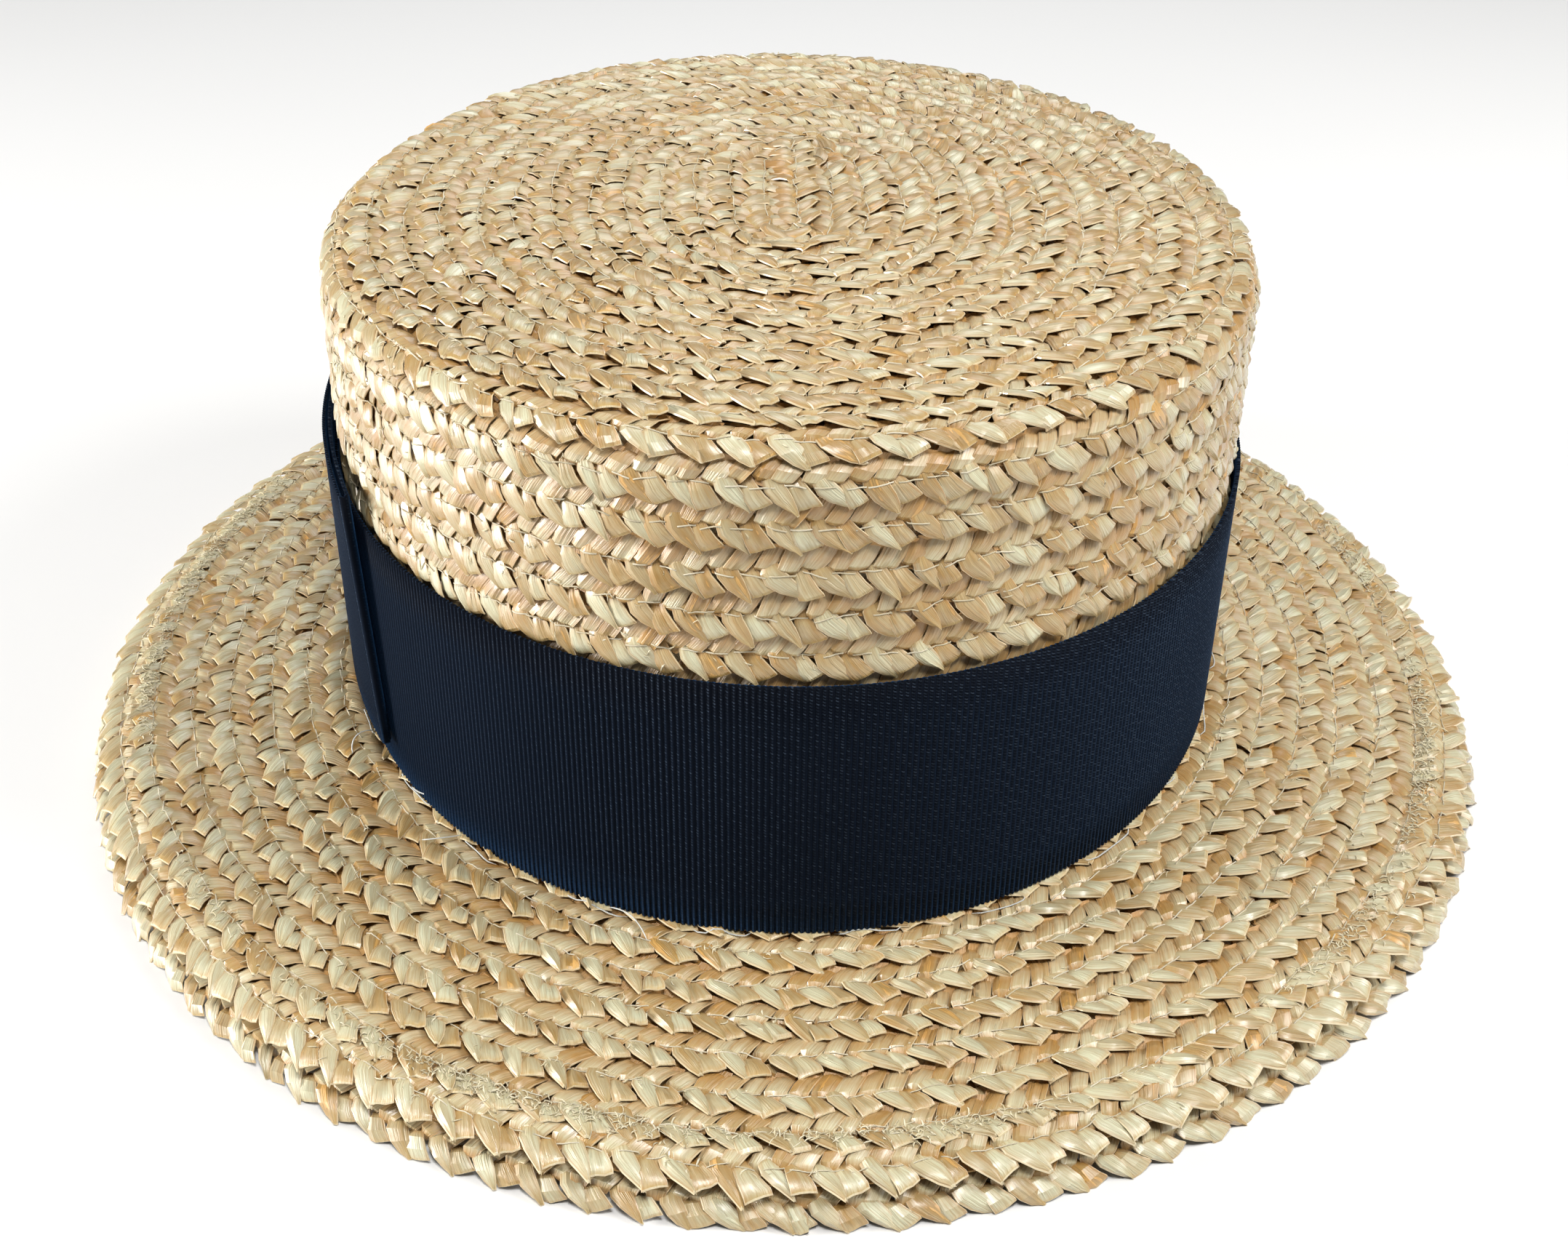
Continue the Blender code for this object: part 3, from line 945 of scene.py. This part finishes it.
# The bow. A second length of the ribbon is folded flat to two loops, held at the middle
# by a short wrap, and tacked to the band at the hat's left side.
BOW_FOOT = 17.4
BOW_TOP = BOW_FOOT + RIBBON_WIDTH
BOW_HALF_LENGTH = 57.2
BOW_SLANT = 2.6
BOW_THICKNESS = 0.35
KNOT_HALF_WIDTH = 7.5
KNOT_TURNED_IN = 2.3
LAYER = 0.45
side_middle = np.interp(math.pi, band_angles, band_run)


def bow_place(along, up, lift):
    """So far towards -Y round the band from the middle of the bow's side."""
    return band_place(side_middle + along, up, lift)


def loop_ribbon(name, side):
    """Out along the band, round a tight fold and back over itself."""
    length = BOW_HALF_LENGTH * 2.0

    def place(along, up, lift):
        share = (up - BOW_FOOT) / RIBBON_WIDTH
        half = BOW_HALF_LENGTH + BOW_SLANT * (1.0 - 2.0 * share)
        out = np.clip(along / BOW_HALF_LENGTH, 0.0, 1.0)
        back = np.clip(along / BOW_HALF_LENGTH - 1.0, 0.0, 1.0)
        layer = np.clip((along - BOW_HALF_LENGTH + 0.8) / 1.6, 0.0, 1.0)
        far = (out - back) * half
        off = 1.3 * (far / half) ** 4 * (0.5 + 0.7 * share)
        gap = 0.15 + 0.4 * (far / half) ** 2
        return bow_place(side * far, up, lift + LAYER + off + layer * (LAYER + gap))

    return ribbed_ribbon(name, place, 0.0, length, BOW_FOOT, BOW_TOP, NAVY, BOW_THICKNESS)


bow_front = loop_ribbon("bow_loop_front_ribbon", 1.0)
bow_back = loop_ribbon("bow_loop_back_ribbon", -1.0)


def knot_place(along, up, lift):
    """The wrap goes over the loops from edge to edge, and is folded in behind them."""
    over = 1.5
    clear = 0.8
    low, high = BOW_FOOT - clear, BOW_TOP + clear
    height = np.clip(up, low, high)
    beyond = np.abs(up - height)
    near = np.minimum(height - low, high - height)
    rounding = np.clip(near / 1.2, 0.0, 1.0)
    depth = over - 0.5 * (1.0 - rounding) ** 2 - beyond
    return bow_place(along, height, lift + depth)


knot = ribbed_ribbon(
    "bow_knot_ribbon",
    knot_place,
    -KNOT_HALF_WIDTH,
    KNOT_HALF_WIDTH,
    BOW_FOOT - KNOT_TURNED_IN,
    BOW_TOP + KNOT_TURNED_IN,
    NAVY,
    BOW_THICKNESS,
    60,
)
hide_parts("bow_loop_front")
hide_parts("bow_loop_back")
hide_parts("bow_knot")


# The tacking threads. The ribbon's foot is held down by long white stitches that lie on
# the brim beside it, and a few cut ends curl out of them.
TACK_RADIUS = 0.14


def tack(first, last, count, draw):
    """Long loose stitches beside the band's foot, each one lying on the plait."""
    starts = np.linspace(first, last, count)[:, None]
    share = np.linspace(0.0, 1.0, 9)
    long = draw.uniform(9.0, 15.0, (count, 1))
    at = starts + long * share
    wander = rough(draw, 0.5, (count, 1)) * np.sin(share * 3.0 + draw.uniform(0.0, 3.0, (count, 1)))
    out = 2.2 + rough(draw, 0.4, (count, 1)) + wander
    out = out - 1.2 * (np.abs(share * 2.0 - 1.0) ** 8)
    angle = np.interp(at % BAND_LENGTH, band_run, band_angles)
    height = height_on(brim_top_surface, brim_surface, out, angle)
    level = np.maximum(height, -0.4) + 0.12
    level[:, [0, -1]] -= 0.6
    return tubes(brim_surface(out, angle, level), TACK_RADIUS, draw.uniform(0.8, 1.0, count))


def cut_end(at, out, length, heading, curl):
    """A cut end of thread that rises and curls away from the band's foot."""
    share = np.linspace(0.0, 1.0, 12)
    turn = heading + curl * share
    step = length / (len(share) - 1)
    along = at + np.concatenate(([0.0], np.cumsum(np.cos(turn[1:]) * step)))
    away = out + np.concatenate(([0.0], np.cumsum(np.sin(turn[1:]) * step)))
    angle = np.interp(along % BAND_LENGTH, band_run, band_angles)
    level = 0.1 + 1.6 * np.sin(share * math.pi * 0.85)
    return tubes(brim_surface(away, angle, level)[None], THREAD_RADIUS, np.array([1.0]))


tacks = joined(
    [
        tack(0.0, BAND_LENGTH, 26, draw),
        cut_end(side_middle + 66.0, 1.4, 15.0, 0.3, -1.5),
        cut_end(side_middle + 84.0, 1.6, 8.0, 1.2, 1.6),
        cut_end(side_middle + 46.0, 1.5, 9.0, 1.6, -1.4),
        cut_end(side_middle + 118.0, 1.3, 11.0, 0.2, 0.7),
    ]
)
tacking = mesh_piece("tacking_threads", tacks, THREAD_WHITE)


# The floor, the light and the camera. The hat rests on a plain pale floor in soft
# studio light: a strong lamp low at the left, others high in front, right and behind.
bpy.ops.mesh.primitive_plane_add(size=6.0)
floor = bpy.context.object
floor.name = "floor"
floor_finish, floor_tree, floor_shader = new_finish("pale_floor", {"Roughness": 0.8})
floor_place = floor_tree.node("TexCoord", None, None, 3)
cloud = floor_place.noise(3.0, 3.0, 1.0)
plug(floor_shader, Base_Color=cloud.between((0.81, 0.81, 0.81, 1.0), (0.85, 0.85, 0.85, 1.0)))
floor.data.materials.append(floor_finish)

world = bpy.data.worlds.new("studio")
bpy.context.scene.world = world
world.use_nodes = True
world.node_tree.nodes["Background"].inputs["Color"].default_value = (0.93, 0.96, 1.0, 1.0)
world.node_tree.nodes["Background"].inputs["Strength"].default_value = 0.14
bpy.context.scene.view_settings.view_transform = "Standard"


def lamp(name, place, size, power, colour):
    light = bpy.data.lights.new(name, "AREA")
    light.shape = "DISK"
    light.size = size
    light.energy = power
    light.color = colour
    stand = bpy.data.objects.new(name, light)
    bpy.context.scene.collection.objects.link(stand)
    stand.location = place
    aim = Vector((0.0, 0.0, 0.05)) - Vector(place)
    stand.rotation_euler = aim.to_track_quat("-Z", "Y").to_euler()


lamp("left_lamp", (-1.30, -0.10, 0.26), 0.5, 22.0, (1.0, 0.98, 0.95))
lamp("right_lamp", (1.00, -0.20, 0.80), 0.6, 10.0, (1.0, 0.98, 0.95))
lamp("top_lamp", (0.05, -0.50, 1.15), 0.4, 10.8, (1.0, 0.99, 0.97))
lamp("back_lamp", (0.05, 0.85, 0.85), 0.5, 2.3, (0.97, 0.99, 1.0))

camera = bpy.data.objects.new("camera", bpy.data.cameras.new("camera"))
bpy.context.scene.collection.objects.link(camera)
camera.location = (-0.0101, -0.3429, 0.2216)
look = Vector((0.0248, 0.8452, -0.5339))
camera.rotation_mode = "QUATERNION"
tilt = Quaternion((0.0, 0.0, 1.0), math.radians(0.69))
camera.rotation_quaternion = look.to_track_quat("-Z", "Y") @ tilt
camera.data.lens = 43.42
camera.data.sensor_width = 36.0
camera.data.clip_start = 0.01
bpy.context.scene.camera = camera
